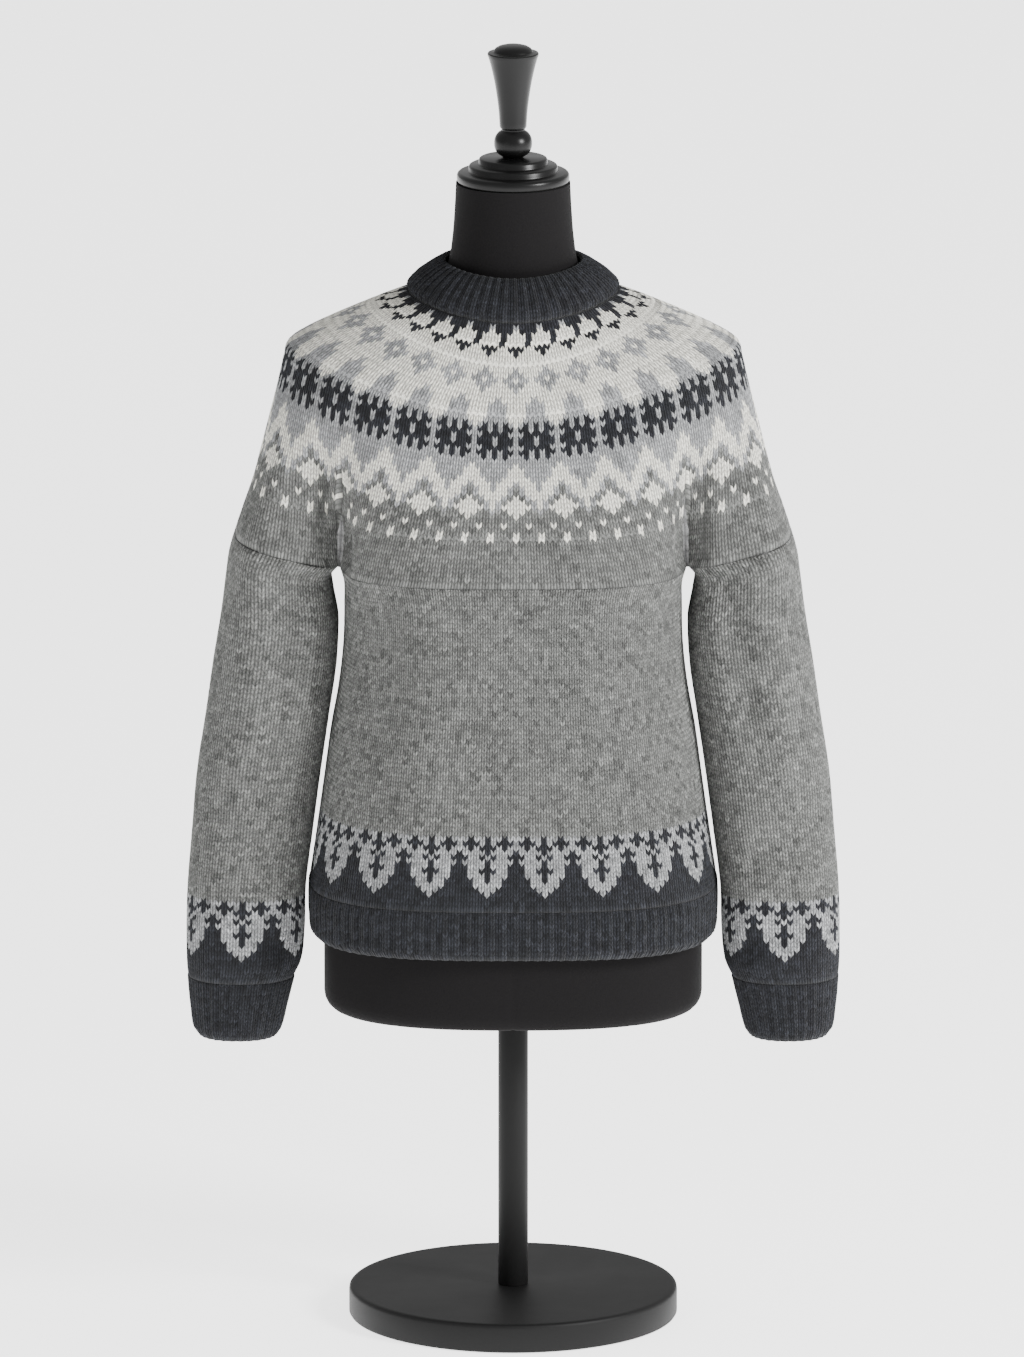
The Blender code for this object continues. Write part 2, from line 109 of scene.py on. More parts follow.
CUFF = (
    (0.2640, 0.2130, 0.2835, 0.0375, -0.010, 2.3, 0.00),
    (0.2680, 0.2105, 0.2865, 0.0395, -0.010, 2.3, 0.00),
    (0.2900, 0.2045, 0.2905, 0.0420, -0.010, 2.3, 0.00),
    (0.31835, 0.1975, 0.2930, 0.0450, -0.009, 2.3, 0.00),
)
YOKE_COLUMNS = ("row", "z_front", "z_side", "z_back", "half", "front", "back", "power", "crease")
YOKE = (
    (0.0, 0.70005, 0.7255, 0.70005, 0.2495, 0.1250, 0.1120, 2.35, 1.00),
    (5.0, 0.7210, 0.7480, 0.7220, 0.2420, 0.1240, 0.1140, 2.35, 0.84),
    (11.0, 0.7450, 0.7730, 0.7470, 0.2335, 0.1225, 0.1150, 2.35, 0.60),
    (17.0, 0.7700, 0.8020, 0.7740, 0.2260, 0.1202, 0.1155, 2.35, 0.35),
    (23.0, 0.7945, 0.8300, 0.8010, 0.2190, 0.1170, 0.1150, 2.35, 0.16),
    (28.5, 0.8165, 0.8620, 0.8300, 0.2110, 0.1135, 0.1135, 2.30, 0.05),
    (33.0, 0.8340, 0.8865, 0.8520, 0.2055, 0.1105, 0.1110, 2.25, 0.00),
    (36.5, 0.8485, 0.9000, 0.8720, 0.2015, 0.1075, 0.1080, 2.20, 0.00),
    (40.0, 0.8635, 0.9115, 0.8920, 0.1840, 0.1045, 0.1035, 2.15, 0.00),
    (43.0, 0.8770, 0.9235, 0.9080, 0.1580, 0.1015, 0.0985, 2.12, 0.00),
    (47.0, 0.8940, 0.9330, 0.9235, 0.1350, 0.0975, 0.0915, 2.10, 0.00),
    (50.0, 0.9080, 0.9385, 0.9320, 0.1210, 0.0930, 0.0870, 2.10, 0.00),
    (57.0, 0.9348, 0.9478, 0.9498, 0.0940, 0.0855, 0.0760, 2.05, 0.00),
)
NECK_COLUMNS = YOKE_COLUMNS + ("thick",)
NECKBAND = (
    (0.0, 0.9352, 0.9483, 0.9503, 0.0938, 0.0853, 0.0758, 2.05, 0.00, 0.0040),
    (1.2, 0.9390, 0.9520, 0.9545, 0.0945, 0.0868, 0.0768, 2.05, 0.00, 0.0062),
    (4.0, 0.9480, 0.9605, 0.9620, 0.0880, 0.0838, 0.0735, 2.05, 0.00, 0.0068),
    (7.0, 0.9580, 0.9680, 0.9690, 0.0780, 0.0772, 0.0690, 2.03, 0.00, 0.0066),
    (9.8, 0.9665, 0.9738, 0.9745, 0.0682, 0.0702, 0.0645, 2.02, 0.00, 0.0058),
    (12.0, 0.9712, 0.9766, 0.9772, 0.0618, 0.0641, 0.0602, 2.00, 0.00, 0.0030),
)

# %% [markdown]
# ## Curves and rounds
# These helpers turn a table into rounds of points. Points are spread evenly by length, because
# every stitch in a round takes the same amount of yarn.

# %% Helpers for rounds
def curve(xs, ys, x):
    """Smooth curve through the table values that never overshoots between two lines."""
    xs = np.asarray(xs, float)
    ys = np.asarray(ys, float)
    slope = np.diff(ys) / np.diff(xs)
    tangent = np.concatenate(([slope[0]], 0.5 * (slope[1:] + slope[:-1]), [slope[-1]]))
    flat = np.concatenate(([False], slope[1:] * slope[:-1] <= 0.0, [False]))
    tangent[flat] = 0.0
    index = np.clip(np.searchsorted(xs, x) - 1, 0, len(xs) - 2)
    width = xs[index + 1] - xs[index]
    t = np.clip((x - xs[index]) / width, 0.0, 1.0)
    a = (1 + 2 * t) * (1 - t) ** 2 * ys[index] + t * (1 - t) ** 2 * width * tangent[index]
    b = t * t * (3 - 2 * t) * ys[index + 1] - t * t * (1 - t) * width * tangent[index + 1]
    return a + b


def table_rows(columns, table, key, places):
    """One dictionary of measurements for each place along the key column."""
    data = np.array(table)
    where = data[:, columns.index(key)]
    made = {name: curve(where, data[:, i], places) for i, name in enumerate(columns)}
    return [{name: float(made[name][i]) for name in columns} for i in range(len(places))]


def quarter(half, depth, power, side, steps=120):
    """From the middle (x = 0) to the side (y = 0) of a rounded section."""
    angle = np.linspace(0.0, 0.5 * pi, steps)
    x = half * np.sin(angle).clip(0) ** (2.0 / power)
    y = side * depth * np.cos(angle).clip(0) ** (2.0 / power)
    return np.stack([x, y, np.zeros(steps)], axis=1)


def spread(line, places):
    """Points at the given shares (0 to 1) of the length of a line."""
    length = np.concatenate(([0.0], np.cumsum(np.linalg.norm(np.diff(line, axis=0), axis=1))))
    length /= length[-1]
    return np.stack([np.interp(places, length, line[:, axis]) for axis in range(3)], axis=1)


def symmetric_ring(right_half, count):
    """Evenly spaced closed round from its right half (front middle to back middle)."""
    left = right_half[::-1][1:-1] * np.array([-1.0, 1.0, 1.0])
    places = np.arange(count) / count
    half = spread(right_half, np.minimum(places * 2.0, 1.0))
    mirror = spread(right_half, np.clip(2.0 - places * 2.0, 0.0, 1.0)) * np.array([-1.0, 1, 1])
    return np.where((places <= 0.5)[:, None], half, mirror)


def tube_ring(row, count):
    """A round of the body or the hem."""
    line = np.concatenate([
        quarter(row["half"], row["front"], row["power"], -1.0),
        quarter(row["half"], row["back"], row["power"], 1.0)[::-1][1:],
    ])
    if row["z"] > NEAR_JOIN:
        line[:, 0] = np.minimum(line[:, 0], GRAFT_X - SEAM)
    ring = symmetric_ring(line, count)
    ring[:, 2] = row["z"]
    return ring


def sleeve_line(row, side):
    """Half a round of the sleeve, from its inner edge to its outer edge."""
    centre = 0.5 * (row["inner"] + row["outer"])
    half = 0.5 * (row["outer"] - row["inner"])
    arc = quarter(half, row["deep"], row["power"], side)
    line = np.concatenate([arc[::-1] * np.array([-1.0, 1, 1]), arc[1:]])
    line[:, 0] += centre
    line[:, 1] += row["middle"]
    line[:, 2] = row["z"] + row["climb"] * np.maximum(line[:, 0] - GRAFT_X, 0.0)
    return line


def sleeve_ring(row, count):
    """A round of the right hand sleeve that starts at the underarm."""
    whole = np.concatenate([sleeve_line(row, -1.0), sleeve_line(row, 1.0)[::-1][1:]])
    return spread(whole, np.arange(count) / count)


def joining_line(depth, side):
    """The round where body and sleeves meet: along the body, into the crease, round the arm."""
    arc = quarter(BODY[-1][1] + 0.0005, depth, 3.3, side, 400)
    arc[:, 0] = np.minimum(arc[:, 0], GRAFT_X - 0.0003)
    arc = arc[np.abs(arc[:, 1]) > GRAFT_HALF]
    crease = np.array([[GRAFT_X, side * (GRAFT_HALF - 0.001), 0.0]])
    row = dict(zip(SLEEVE_COLUMNS, SLEEVE[-1]))
    row["inner"] = 0.1545
    arm = sleeve_line(row, side)
    arm[:, 2] = 0.0
    arm[:, 0] = np.maximum(arm[:, 0], GRAFT_X + 0.0003)
    arm = arm[(np.abs(arm[:, 1]) > GRAFT_HALF) | (arm[:, 0] > 0.21)]
    return np.concatenate([arc, crease]), np.concatenate([crease, arm])


CREASE_SHARE = 0.59
FIRST = dict(zip(YOKE_COLUMNS, YOKE[0]))


def yoke_half(row, side, places):
    """Points from the middle of the front (or back) to the outside of the arm."""
    depth_key, height_key = ("front", "z_front") if side < 0 else ("back", "z_back")

    def plain(values):
        line = spread(quarter(values["half"], values[depth_key], values["power"], side), places)
        share = (np.abs(line[:, 0]) / values["half"]) ** 1.8
        line[:, 2] = values[height_key] + (values["z_side"] - values[height_key]) * share
        return line

    here = plain(row)
    if row["crease"] > 0.0:
        body, arm = joining_line(FIRST[depth_key], side)
        joined = np.where(
            (places < CREASE_SHARE)[:, None],
            spread(body, np.clip(places / CREASE_SHARE, 0, 1)),
            spread(arm, np.clip((places - CREASE_SHARE) / (1 - CREASE_SHARE), 0, 1)),
        )
        joined[:, 2] = FIRST["z_front"] + JOIN_SLOPE * np.maximum(joined[:, 0] - GRAFT_X, 0.0)
        here = here + row["crease"] * (joined - plain(FIRST))
    return here


def yoke_ring(row, count):
    """A whole round of the yoke or the neckband."""
    places = np.arange(count) / count * 4.0
    folded = np.where(places <= 2.0, places, 4.0 - places)
    front = yoke_half(row, -1.0, np.clip(folded, 0.0, 1.0))
    back = yoke_half(row, 1.0, np.clip(2.0 - folded, 0.0, 1.0))
    ring = np.where((folded <= 1.0)[:, None], front, back)
    ring[:, 0] *= np.where(places <= 2.0, 1.0, -1.0)
    return ring


# %% [markdown]
# ## Folds
# Wool this thick does not crease sharply; it sags into soft troughs. Each line of the table is one
# trough or ridge as drawn: its start, its end, its width and its depth, all in metres.
# trough or ridge drawn by hand: its start, its end, its width and its depth, all in metres.

# %% Folds
FOLDS = (
    ((-0.170, -0.075, 0.800), (-0.158, -0.060, 0.715), 0.016, 0.0100),
    ((0.172, -0.075, 0.800), (0.158, -0.060, 0.715), 0.015, 0.0090),
    ((-0.215, -0.060, 0.790), (-0.235, -0.062, 0.560), 0.018, -0.0060),
    ((0.222, -0.060, 0.770), (0.245, -0.060, 0.520), 0.018, -0.0056),
    ((-0.183, -0.055, 0.700), (-0.205, -0.055, 0.540), 0.012, 0.0060),
    ((0.190, -0.055, 0.690), (0.212, -0.052, 0.560), 0.012, 0.0056),
    ((-0.265, -0.045, 0.520), (-0.215, -0.055, 0.470), 0.013, 0.0044),
    ((0.262, -0.045, 0.470), (0.215, -0.055, 0.430), 0.013, 0.0040),
    ((-0.275, -0.040, 0.385), (-0.215, -0.050, 0.350), 0.011, 0.0048),
    ((0.272, -0.040, 0.390), (0.212, -0.050, 0.352), 0.011, 0.0044),
    ((-0.120, -0.120, 0.690), (-0.135, -0.110, 0.560), 0.022, 0.0052),
    ((0.118, -0.120, 0.680), (0.138, -0.110, 0.540), 0.020, 0.0044),
    ((-0.060, -0.130, 0.620), (-0.085, -0.130, 0.480), 0.026, -0.0036),
    ((0.050, -0.130, 0.600), (0.075, -0.130, 0.470), 0.026, -0.0032),
    ((-0.110, 0.110, 0.700), (-0.080, 0.118, 0.520), 0.024, 0.0060),
    ((0.100, 0.110, 0.690), (0.115, 0.112, 0.540), 0.024, 0.0056),
    ((-0.050, 0.115, 0.640), (0.060, 0.118, 0.600), 0.022, 0.0044),
    ((-0.172, 0.070, 0.800), (-0.158, 0.055, 0.715), 0.015, 0.0090),
    ((0.172, 0.070, 0.800), (0.158, 0.055, 0.715), 0.015, 0.0090),
    ((-0.250, 0.050, 0.600), (-0.215, 0.055, 0.520), 0.015, 0.0060),
    ((0.255, 0.050, 0.580), (0.215, 0.055, 0.500), 0.015, 0.0060),
)


def fold_depth(points):
    """How far every point sinks (or rises, when negative) in the drawn folds."""
    total = np.zeros(len(points))
    for start, end, width, depth in FOLDS:
        start = np.array(start)
        along = np.array(end) - start
        share = np.clip((points - start) @ along / (along @ along), 0.0, 1.0)
        gap = np.linalg.norm(points - start - share[:, None] * along, axis=1)
        total += depth * np.exp(-(gap / width) ** 2)
    return total


# %% [markdown]
# ## The charts
# Stranded knitting is drawn as a chart: one square is one stitch and the figure repeats all the
# way round. The letters are yarns: g body grey, l light grey, w cream and c charcoal.

# %% Charts
YARNS = {
    "g": (0.140, 0.142, 0.136), "l": (0.275, 0.280, 0.285),
    "w": (0.720, 0.705, 0.635), "c": (0.0125, 0.0135, 0.0170),
}
SHADES = {"g": 0.21, "l": 0.15, "w": 0.06, "c": 0.32}    # how uneven each yarn is spun
ROSETTE = (".c.c.c.", "cc.c.cc", ".ccccc.", "ccc.ccc", "ccc.ccc", ".ccccc.", "cc.c.cc",
           ".c.c.c.")
ROSETTE_ROW = 28
REPEATS = 28


def lower_yoke(row, column):
    """Zigzag, diamonds and rosettes; eight stitches in a repeat, rosette on column 4."""
    away = abs(column - 4)
    beside = min(column, 8 - column)
    if ROSETTE_ROW <= row < ROSETTE_ROW + len(ROSETTE) and column > 0:
        mark = ROSETTE[row - ROSETTE_ROW][column - 1]
        return "c" if mark == "c" else "l"
    if row >= 35 and beside <= (row - 34) * 0.5:
        return "w"
    lower_edge = 17.0 + 1.5 * away
    if row >= lower_edge + 3.6:
        return "l"
    if row >= lower_edge:
        return "w"
    if row >= lower_edge - 1.6:
        return "l"
    if beside + abs(row - 17) * 0.8 <= 2.0:
        return "w"
    return "w" if (row, column % 4) in ((11, 0), (13, 2)) else "g"


def domes(row, column):
    """Light domes over the rosettes and diamonds between them; six stitches, dome on column 3."""
    beside = min(column, 6 - column)
    away = abs(column - 3)
    if row < 42:
        return "w" if beside <= (row - 35) * 0.42 or row == 41 else "l"
    if row < 47:
        return "l" if beside <= (0, 1, 2, 1, 0)[row - 42] and (row, column) != (44, 0) else "w"
    return "g" if away == 1 and row == 47 else "w"


def crosses(row, column):
    """Small charcoal crosses; five stitches in a repeat."""
    beside = min(column, 5 - column)
    return "c" if beside <= {49: 0, 50: 1, 51: 0}.get(row, -1) else "w"


def teeth(row, column):
    """The first figures under the neckband; four stitches in a repeat."""
    away = abs(column - 2)
    if row >= 56:
        return "c"
    if row == 55:
        return "c" if away <= 1 else "l"
    return "c" if away <= {52: 0, 53: 0, 54: 1}.get(row, 0) else "w"


BORDER = (
    "cccccccccc", "cccccccccc", "cccccccccc",
    "ccccclcccc", "cccclllccc", "ccclllllcc", "cccllcllcc", "cclllclllc", "ccllcccllc",
    "cclllclllc", "cllllcllll", "ccllclcllc", "cllllcllll", "llclccclcl", "lccclclccc",
    "llcllcllcl",
)


def border(row, column):
    """The border over the hem and the cuffs; ten stitches in a repeat, point on column 5."""
    if row < 0:
        return "c"
    return BORDER[row][column] if row < len(BORDER) else "g"


# %% [markdown]
# ## Knitting a piece
# A stitch of plain knitting looks like a V. Each one is built from four narrow faces whose rows
# dip in the middle and climb to the sides, with a ridge on both legs and a valley between two
# columns. A second, plain surface closes the inside of the wall, as the floats would.

# %% The knitting machine
LIFT = (3, 2, 0, 2)                     # quarter rows that each line of a stitch is raised by
RELIEF = (-0.00042, 0.00028, -0.00022, 0.00028)
LINES = len(LIFT)                       # lines of points in one stitch
WOBBLE = 0.00006                        # hand knitting is never quite even
EDGE_RELIEF = 0.35                      # the first and last rounds lie flatter
GREY_INSIDE = (0.2, 0.2, 0.2, 1.0)
PALE_INSIDE = (0.3, 0.3, 0.3, 1.0)
DARK_INSIDE = (0.03, 0.03, 0.04, 1.0)
LINING_STEP = 3.0                       # rows between two rounds of the inner surface


class Knit:
    """Collects points, faces, yarn colours and stitch coordinates of one piece."""

    def __init__(self):
        self.points = []
        self.faces = []
        self.colours = []
        self.stitches = []
        self.count = 0

    def add_points(self, points):
        start = self.count
        self.points.append(points)
        self.count += len(points)
        return start

    def add_faces(self, faces, colours, stitches):
        self.faces.extend(faces)
        self.colours.extend(colours)
        self.stitches.extend(stitches)

    def strip(self, lower, upper, colour, places=(0.0, 0.0)):
        """Triangles between two rounds with different numbers of points."""
        i = j = 0
        a_count, b_count = len(lower), len(upper)
        while i < a_count or j < b_count:
            step_a = (i + 1) / a_count if i < a_count else 9.0
            step_b = (j + 1) / b_count if j < b_count else 9.0
            a, b = lower[i % a_count], upper[j % b_count]
            if step_a <= step_b:
                face = (a, lower[(i + 1) % a_count], b)
                i += 1
            else:
                face = (a, upper[(j + 1) % b_count], b)
                j += 1
            self.faces.append(face)
            self.colours.append(colour(min(i / a_count, 0.9999)) if callable(colour) else colour)
            self.stitches.append(((0.25, places[0]), (0.5, places[0]), (0.25, places[1])))


def outward(surface):
    """Outward normals of a grid of rounds."""
    around = np.roll(surface, -1, axis=1) - np.roll(surface, 1, axis=1)
    up = np.gradient(surface, axis=0)
    normal = np.cross(around, up)
    return normal / np.linalg.norm(normal, axis=2, keepdims=True).clip(1e-12)


def stitch_colour(letter):
    """A yarn colour with the small change in shade that a spun yarn shows."""
    shade = float(np.clip(1.0 + SHADES[letter] * RNG.normal(), 0.55, 1.7))
    return tuple(np.clip(np.array(YARNS[letter]) * shade, 0.0, 0.95)) + (1.0,)


def knit_zone(knit, ring_at, first, last, stitches, chart, repeat, rib=0.0, edge=(True, True)):
    """Knit the rows of one zone and return its first and last rounds of points."""
    count = stitches * LINES
    quarters = np.arange(first * 4, last * 4 + 4)
    rounds = np.array([ring_at(quarter_row / 4.0, count) for quarter_row in quarters])
    normal = outward(rounds)
    relief = np.tile(RELIEF, stitches)
    rib_wave = np.cos(np.arange(count) / LINES * pi - 0.25 * pi) * rib
    lines = []
    for row in range(first, last + 1):
        at_edge = (row == first and edge[0]) or (row == last and edge[1])
        lift = np.tile(LIFT, stitches)
        if at_edge:
            lift = lift * 0
        index = np.minimum((row - first) * 4 + lift, len(quarters) - 1)
        columns = np.arange(count)
        base = rounds[index, columns]
        out = normal[index, columns]
        wobble = RNG.normal(0.0, WOBBLE, count)
        drop = relief + rib_wave + wobble - fold_depth(base)
        if at_edge:
            drop = drop * EDGE_RELIEF
        lines.append(knit.add_points(base + out * drop[:, None]))
    for row, (low, high) in enumerate(zip(lines, lines[1:]), start=first):
        tone = [stitch_colour(chart(row, column % repeat)) for column in range(stitches)]
        faces, colours, places = [], [], []
        for k in range(count):
            n = (k + 1) % count
            faces.append((low + k, low + n, high + n, high + k))
            colours.append(tone[k // LINES])
            u, v, wide = k / LINES, float(row), 1.0 / LINES
            places.append(((u, v), (u + wide, v), (u + wide, v + 1.0), (u, v + 1.0)))
        knit.add_faces(faces, colours, places)
    ids = np.arange(count)
    return lines[0] + ids, lines[-1] + ids


def line_inside(knit, ring_at, first, last, stitches, thick, tone):
    """The plain inner surface of the wall; returns its lowest and highest rounds."""
    rows = np.unique(np.append(np.arange(first, last, LINING_STEP), last))
    rounds = np.array([ring_at(float(row), stitches) for row in rows])
    out = outward(rounds)
    rings = []
    for index, row in enumerate(rows):
        depth = thick(row) if callable(thick) else thick
        sink = depth + fold_depth(rounds[index])
        flat = rounds[index] - out[index] * sink[:, None]
        if index in (0, len(rows) - 1) and not callable(thick):
            flat[:, 2] = rounds[index][:, 2]
        rings.append(knit.add_points(flat) + np.arange(stitches))
    for row, (low, high) in enumerate(zip(rings, rings[1:])):
        faces, places = [], []
        for k in range(stitches):
            n = (k + 1) % stitches
            faces.append((high[k], high[n], low[n], low[k]))
            places.append(((k, row), (k + 1.0, row), (k + 1.0, row + 1.0), (k, row + 1.0)))
        knit.add_faces(faces, [tone] * stitches, places)
    return rings[0], rings[-1]


def finish_knit(knit, name, material, mirror=False):
    """Turn the collected points and faces into one object."""
    points = np.concatenate(knit.points)
    faces = knit.faces
    places = knit.stitches
    if mirror:
        points = points * np.array([-1.0, 1.0, 1.0])
        faces = [face[::-1] for face in faces]
        places = [place[::-1] for place in places]
    mesh = bpy.data.meshes.new(name)
    mesh.from_pydata(points.tolist(), [], [tuple(int(i) for i in face) for face in faces])
    layer = mesh.uv_layers.new(name="stitches")
    flat = np.array([corner for place in places for corner in place], dtype=np.float32).ravel()
    layer.data.foreach_set("uv", flat)
    tone = mesh.attributes.new("yarn", "FLOAT_COLOR", "FACE")
    tone.data.foreach_set("color", np.array(knit.colours, dtype=np.float32).ravel())
    mesh.shade_smooth()
    mesh.materials.append(material)
    thing = bpy.data.objects.new(name, mesh)
    bpy.context.scene.collection.objects.link(thing)
    one_side = sum(face.area for face in mesh.polygons) / 2
    print(name, len(faces), "faces, one side", round(one_side, 4), "m2")
    return thing


# %% [markdown]
# ## Wool
# Icelandic-type yarn is softly spun and hairy. The shader adds what the faces are too coarse to
# show: the rounded leg of each stitch, as a bump and as painted shade and highlight in its
# colour, fibres along it, and light and dark flecks of fleece.

# %% Wool material
def new_group(name, inputs, outputs):
    """An empty node group with named sockets."""
    group = bpy.data.node_groups.new(name, "ShaderNodeTree")
    for label, kind in inputs:
        group.interface.new_socket(name=label, in_out="INPUT", socket_type=kind)
    for label, kind in outputs:
        group.interface.new_socket(name=label, in_out="OUTPUT", socket_type=kind)
    return group, group.nodes.new("NodeGroupInput"), group.nodes.new("NodeGroupOutput")


def math_node(tree, operation, first, second=None, third=None):
    """One Math node; numbers are typed in and sockets are linked."""
    node = tree.nodes.new("ShaderNodeMath")
    node.operation = operation
    for socket, value in zip(node.inputs, (first, second, third)):
        if value is None:
            continue
        if isinstance(value, (int, float)):
            socket.default_value = value
        else:
            tree.links.new(value, socket)
    return node.outputs[0]


def noise(tree, vector, scale, detail=3.0, roughness=0.6, stretch=None):
    """A noise texture, stretched along one direction when asked."""
    if stretch is not None:
        mapping = tree.nodes.new("ShaderNodeMapping")
        mapping.inputs["Scale"].default_value = stretch
        tree.links.new(vector, mapping.inputs["Vector"])
        vector = mapping.outputs[0]
    node = tree.nodes.new("ShaderNodeTexNoise")
    node.inputs["Scale"].default_value = scale
    node.inputs["Detail"].default_value = detail
    node.inputs["Roughness"].default_value = roughness
    tree.links.new(vector, node.inputs["Vector"])
    return node.outputs["Fac"]


def stitch_group():
    """Height of the legs of a stitch from its (column, row) coordinates."""
    group, source, result = new_group(
        "Stitch Legs", [("Stitch", "NodeSocketVector")], [("Height", "NodeSocketFloat")])
    split = group.nodes.new("ShaderNodeSeparateXYZ")
    group.links.new(source.outputs["Stitch"], split.inputs[0])
    double = math_node(group, "MULTIPLY", split.outputs["X"], 2.0)
    across = math_node(group, "FRACT", double)
    across = math_node(group, "ABSOLUTE", math_node(group, "SUBTRACT", across, 0.5))
    across = math_node(group, "SUBTRACT", 1.0, math_node(group, "MULTIPLY", across, 1.9))
    along = math_node(group, "FRACT", split.outputs["Y"])
    along = math_node(group, "SINE", math_node(group, "MULTIPLY", along, pi))
    along = math_node(group, "POWER", along, 0.45)
    height = math_node(group, "MULTIPLY", across, along)
    group.links.new(height, result.inputs["Height"])
    return group


def wool_group(legs):
    """Colour, roughness and height of hairy spun wool; the colour holds painted shade and painted
    highlight on the stitch legs.
    """
    group, source, result = new_group(
        "Spun Wool",
        [("Yarn", "NodeSocketColor"), ("Stitch", "NodeSocketVector"),
         ("Place", "NodeSocketVector"), ("Fleck", "NodeSocketFloat")],
        [("Color", "NodeSocketColor"), ("Height", "NodeSocketFloat"),
         ("Roughness", "NodeSocketFloat")])
    node = group.nodes.new("ShaderNodeGroup")
    node.node_tree = legs
    group.links.new(source.outputs["Stitch"], node.inputs["Stitch"])
    fibre = noise(group, source.outputs["Stitch"], 1.0, 4.0, 0.7, (9.0, 2.2, 1.0))
    fleck = noise(group, source.outputs["Place"], 620.0, 3.0, 0.7)
    cloud = noise(group, source.outputs["Place"], 24.0, 3.0, 0.6)
    spread_fleck = math_node(group, "SUBTRACT", fleck, 0.5)
    spread_fleck = math_node(group, "MULTIPLY", spread_fleck, source.outputs["Fleck"])
    spread_fibre = math_node(group, "MULTIPLY", math_node(group, "SUBTRACT", fibre, 0.5), 1.1)
    spread_cloud = math_node(group, "MULTIPLY", math_node(group, "SUBTRACT", cloud, 0.5), 0.35)
    # painted shade and highlight: the yarn colour is darkened in the dips between the stitch legs
    # and at the ends of each leg, and lightened along each leg's ridge
    painted_leg_shade_and_highlight = math_node(group, "MULTIPLY_ADD", node.outputs["Height"], 0.95, 0.34)
    total = math_node(group, "ADD", spread_fleck, spread_fibre)
    total = math_node(group, "ADD", total, spread_cloud)
    total = math_node(group, "MULTIPLY", math_node(group, "ADD", total, 1.0), painted_leg_shade_and_highlight)
    total = math_node(group, "MAXIMUM", total, 0.12)
    scale = group.nodes.new("ShaderNodeVectorMath")
    scale.operation = "SCALE"
    group.links.new(source.outputs["Yarn"], scale.inputs[0])
    group.links.new(total, scale.inputs["Scale"])
    group.links.new(scale.outputs[0], result.inputs["Color"])
    height = math_node(group, "MULTIPLY_ADD", fibre, 0.35, node.outputs["Height"])
    height = math_node(group, "MULTIPLY_ADD", fleck, 0.25, height)
    group.links.new(height, result.inputs["Height"])
    rough = math_node(group, "MULTIPLY_ADD", fibre, 0.15, 0.78)
    group.links.new(rough, result.inputs["Roughness"])
    return group


LEGS = stitch_group()
SPUN = wool_group(LEGS)


def wool_material(name, fleck):
    """One wool, coloured by the yarn of each stitch."""
    material = bpy.data.materials.new(name)
    material.use_nodes = True
    tree = material.node_tree
    shader = tree.nodes["Principled BSDF"]
    yarn = tree.nodes.new("ShaderNodeAttribute")
    yarn.attribute_name = "yarn"
    stitch = tree.nodes.new("ShaderNodeUVMap")
    stitch.uv_map = "stitches"
    place = tree.nodes.new("ShaderNodeTexCoord")
    wool = tree.nodes.new("ShaderNodeGroup")
    wool.node_tree = SPUN
    wool.inputs["Fleck"].default_value = fleck
    tree.links.new(yarn.outputs["Color"], wool.inputs["Yarn"])
    tree.links.new(stitch.outputs["UV"], wool.inputs["Stitch"])
    tree.links.new(place.outputs["Object"], wool.inputs["Place"])
    bump = tree.nodes.new("ShaderNodeBump")
    bump.inputs["Strength"].default_value = 0.85
    bump.inputs["Distance"].default_value = 0.0011
    tree.links.new(wool.outputs["Height"], bump.inputs["Height"])
    tree.links.new(bump.outputs["Normal"], shader.inputs["Normal"])
    tree.links.new(wool.outputs["Color"], shader.inputs["Base Color"])
    tree.links.new(wool.outputs["Roughness"], shader.inputs["Roughness"])
    shader.inputs["Sheen Weight"].default_value = 0.06
    shader.inputs["Sheen Roughness"].default_value = 0.6
    shader.inputs["Specular IOR Level"].default_value = 0.15
    return material


WOOL_GREY = wool_material("heather wool", 2.8)
WOOL_YOKE = wool_material("patterned wool", 1.5)
WOOL_DARK = wool_material("charcoal wool", 4.0)

# %% [markdown]
# ## Body, hem and neckband
# The body is one tube, knitted from the hem upward with the border first. The hem and the
# neckband are ribbed: every other column sinks back, so the rib draws in.

# %% Body and hem
def rounds_of(table, columns, make_ring):
    """Row number to round for a table described by heights, and the number of rows in it."""
    low, high = table[0][0], table[-1][0]
    rows = int(round((high - low) / ROW))

    def ring_at(row, count):
        z = low + (high - low) * min(row / rows, 1.0)
        return make_ring(table_rows(columns, table, "z", np.array([z]))[0], count)

    return ring_at, rows


def cached(make):
    """Remember rounds that are asked for more than once."""
    store = {}

    def ring_at(row, count):
        key = (round(row * 4), count)
        if key not in store:
            store[key] = make(row, count)
        return store[key]

    return ring_at


def knit_tube(name, ring_at, rows, stitches, chart, repeat, material, rib=0.0, thick=WOOL,
              inside=GREY_INSIDE, mirror=False):
    """A whole tube: outside, inside and both edges."""
    ring_at = cached(ring_at)
    knit = Knit()
    low, high = knit_zone(knit, ring_at, 0, rows, stitches, chart, repeat, rib)
    in_low, in_high = line_inside(knit, ring_at, 0, rows, stitches, thick, inside)
    knit.strip(in_low, low, stitch_colour(chart(0, 0)))
    knit.strip(high, in_high, stitch_colour(chart(rows, 0)))
    return finish_knit(knit, name, material, mirror)


BODY_STITCHES = 200
body_at, body_rows = rounds_of(BODY, TUBE_COLUMNS, tube_ring)
body = knit_tube("body_knit", body_at, body_rows, BODY_STITCHES, border, 10, WOOL_GREY)
hem_at, hem_rows = rounds_of(HEM, TUBE_COLUMNS, tube_ring)
hem = knit_tube("hem_knit", hem_at, hem_rows, BODY_STITCHES, lambda row, column: "c", 10,
                WOOL_DARK, rib=0.0009, inside=DARK_INSIDE)

# %% [markdown]
# ## Sleeves and cuffs
# Both sleeves hang down, empty. They are knitted like the body with the same border above
# the cuff, and the left one is the mirror image of the right one.

